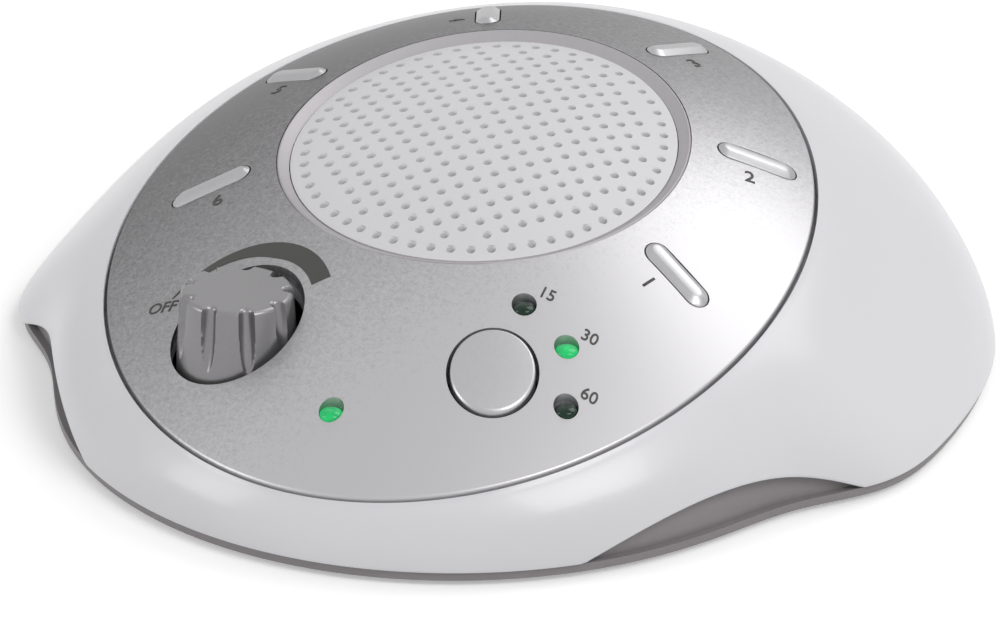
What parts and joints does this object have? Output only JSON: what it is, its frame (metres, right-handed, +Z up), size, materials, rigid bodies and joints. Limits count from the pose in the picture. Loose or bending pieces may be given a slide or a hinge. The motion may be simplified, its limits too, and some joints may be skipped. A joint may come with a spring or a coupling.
{
  "type": "white noise sound machine",
  "caption": "Low domed table-top sound machine with a wide flared base, round speaker grille, sound buttons, timer button with lamps and a volume knob.",
  "frame": {"origin": "bottom centre of the whole object, on the table", "axes": "+X to the right seen from the controls, +Y to the back, +Z up"},
  "size_m": [0.1592, 0.144, 0.046],
  "materials": {
    "white_abs": "white ABS, satin gloss",
    "base_abs": "taupe grey moulded plastic",
    "silver_panel": "silver satin with fine metallic sparkle",
    "silver_button": "silver satin",
    "knob": "silver grey, satin gloss",
    "lamp_bright": "clear green, lit",
    "lamp_dark": "dark green, unlit",
    "rubber": "matt rubber",
    "steel": "plated steel",
    "board": "green board",
    "black_plastic": "black plastic",
    "magnet": "dark ferrite",
    "paper": "black paper cone",
    "foam": "black foam",
    "cell": "plain blue sleeve"
  },
  "bodies": {
    "housing": {"top_housing": "white_abs", "bottom_housing": "base_abs", "rubber_feet": "rubber", "housing_screws": "steel", "face_panel": "silver_panel", "grille_ring": "silver_button", "speaker_grille": "white_abs", "speaker_gasket": "foam", "speaker_frame": "steel", "speaker_cone": "paper", "speaker_magnet": "magnet", "speaker_screws": "steel", "main_board": "board", "key_board": "board", "board_screws": "steel", "key_switches": "black_plastic", "timer_switch": "black_plastic", "volume_control": "steel", "dc_jack": "black_plastic", "battery_contacts": "steel", "aa_cells": "cell", "timer_lamp_15": "lamp_dark", "timer_lamp_30": "lamp_bright", "timer_lamp_60": "lamp_dark", "power_lamp": "lamp_bright"},
    "battery_door": {"battery_door": "base_abs"},
    "volume_knob": {"volume_knob": "knob", "volume_shaft": "steel"},
    "timer_button": {"timer_button": "silver_button"},
    "sound_button_1": {"sound_button_1": "silver_button"},
    "sound_button_2": {"sound_button_2": "silver_button"},
    "sound_button_3": {"sound_button_3": "silver_button"},
    "sound_button_4": {"sound_button_4": "silver_button"},
    "sound_button_5": {"sound_button_5": "silver_button"},
    "sound_button_6": {"sound_button_6": "silver_button"}
  },
  "joints": [
    {"name": "sound_button_1_press", "type": "slide", "parent": "housing", "child": "sound_button_1", "axis": [0, 0, -1], "range_m": [0, 0.001], "stiffness_N_per_m": 200},
    {"name": "sound_button_2_press", "type": "slide", "parent": "housing", "child": "sound_button_2", "axis": [0, 0, -1], "range_m": [0, 0.001], "stiffness_N_per_m": 200},
    {"name": "sound_button_3_press", "type": "slide", "parent": "housing", "child": "sound_button_3", "axis": [0, 0, -1], "range_m": [0, 0.001], "stiffness_N_per_m": 200},
    {"name": "sound_button_4_press", "type": "slide", "parent": "housing", "child": "sound_button_4", "axis": [0, 0, -1], "range_m": [0, 0.001], "stiffness_N_per_m": 200},
    {"name": "sound_button_5_press", "type": "slide", "parent": "housing", "child": "sound_button_5", "axis": [0, 0, -1], "range_m": [0, 0.001], "stiffness_N_per_m": 200},
    {"name": "sound_button_6_press", "type": "slide", "parent": "housing", "child": "sound_button_6", "axis": [0, 0, -1], "range_m": [0, 0.001], "stiffness_N_per_m": 200},
    {"name": "timer_button_press", "type": "slide", "parent": "housing", "child": "timer_button", "axis": [0, 0, -1], "range_m": [0, 0.001], "stiffness_N_per_m": 200},
    {"name": "volume_turn", "type": "hinge", "parent": "housing", "child": "volume_knob", "pos_m": [-0.022, -0.043, 0.02], "axis": [0, 0, -1], "range_deg": [0, 300]},
    {"name": "battery_door_hinge", "type": "hinge", "parent": "housing", "child": "battery_door", "pos_m": [0, -0.00925, 0.00185], "axis": [-1, 0, 0], "range_deg": [0, 80]}
  ]
}
